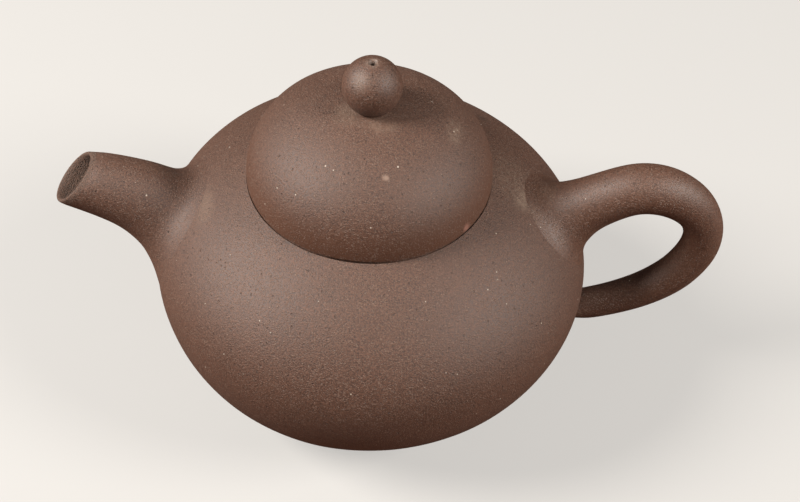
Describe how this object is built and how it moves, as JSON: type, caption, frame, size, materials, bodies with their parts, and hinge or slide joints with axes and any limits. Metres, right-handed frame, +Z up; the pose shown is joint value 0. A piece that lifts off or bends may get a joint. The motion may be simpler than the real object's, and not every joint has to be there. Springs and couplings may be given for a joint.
{
  "type": "teapot",
  "caption": "Small round unglazed clay teapot: low bulbous belly, short tapering spout, ring handle, high domed lift-off lid with a bead knob and steam vent.",
  "frame": {"origin": "centre of the foot ring's bottom face, on the table and on the axis of belly, mouth and lid", "axes": "+Z up along the pot's axis; the spout points along -X and the handle along +X, both in the XZ plane; +Y completes the frame"},
  "size_m": [0.1522, 0.1, 0.0916],
  "materials": {
    "clay": "unglazed, dense fine-grained stoneware, satin"
  },
  "bodies": {
    "pot": {"base_disc": "clay", "body_wall": "clay", "shoulder_disc": "clay", "mouth_ring": "clay", "foot_ring": "clay", "spout": "clay", "strainer": "clay", "handle": "clay"},
    "lid": {"lid_dome": "clay", "lid_plate": "clay", "lid_flange": "clay", "knob": "clay"}
  },
  "joints": [
    {"name": "lid_lift", "type": "slide", "parent": "pot", "child": "lid", "axis": [0, 0, 1], "range_m": [0, 0.06]}
  ]
}
